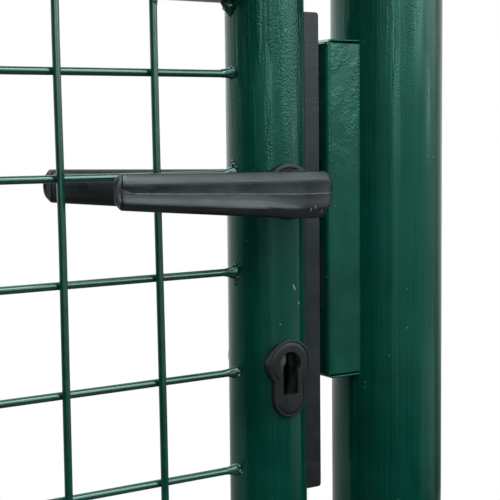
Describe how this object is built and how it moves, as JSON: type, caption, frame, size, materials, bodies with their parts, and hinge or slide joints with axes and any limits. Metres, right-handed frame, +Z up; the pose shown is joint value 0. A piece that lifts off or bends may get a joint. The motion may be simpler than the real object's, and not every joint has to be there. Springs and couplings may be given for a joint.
{
  "type": "garden mesh gate with posts",
  "caption": "Round-tube garden gate with welded wire mesh, two round posts, lever handles, mortise lock, keeper box and eyebolt hinges.",
  "frame": {"origin": "centre of the hinge post's foot, at ground level", "axes": "+X from the hinge post to the lock post, +Y from the front to the back, +Z up"},
  "size_m": [1.0886, 0.086, 1.0655],
  "materials": {
    "green_coat": "glossy dark green powder coat",
    "dark_plastic": "satin moulded plastic",
    "zinc": "zinc plated"
  },
  "bodies": {
    "posts": {"hinge_post": "green_coat", "lock_post": "green_coat", "hinge_post_cap": "dark_plastic", "lock_post_cap": "dark_plastic", "keeper": "green_coat", "top_eyebolt": "zinc", "top_inner_nut": "zinc", "top_outer_nut": "zinc", "top_inner_washer": "zinc", "top_outer_washer": "zinc", "bottom_eyebolt": "zinc", "bottom_inner_nut": "zinc", "bottom_outer_nut": "zinc", "bottom_inner_washer": "zinc", "bottom_outer_washer": "zinc"},
    "leaf": {"hinge_stile": "green_coat", "lock_stile": "green_coat", "top_rail": "green_coat", "bottom_rail": "green_coat", "wire_mesh": "green_coat", "top_hinge_pin": "green_coat", "bottom_hinge_pin": "green_coat", "lock_case": "zinc", "faceplate": "dark_plastic", "latch_bolt": "zinc", "dead_bolt": "zinc", "front_rosette": "dark_plastic", "rear_rosette": "dark_plastic", "front_escutcheon": "dark_plastic", "rear_escutcheon": "dark_plastic"},
    "handles": {"spindle": "zinc", "front_handle": "dark_plastic", "rear_handle": "dark_plastic", "front_handle_cap": "dark_plastic", "rear_handle_cap": "dark_plastic"}
  },
  "joints": [
    {"name": "leaf_swing", "type": "hinge", "parent": "posts", "child": "leaf", "pos_m": [0.066, 0, 0.55], "axis": [0, 0, 1], "range_deg": [0, 110]},
    {"name": "handle_turn", "type": "hinge", "parent": "leaf", "child": "handles", "pos_m": [0.922, 0, 0.9165], "axis": [0, -1, 0], "range_deg": [0, 40], "stiffness_Nm_per_rad": 0.8, "springref_deg": -22.92}
  ]
}
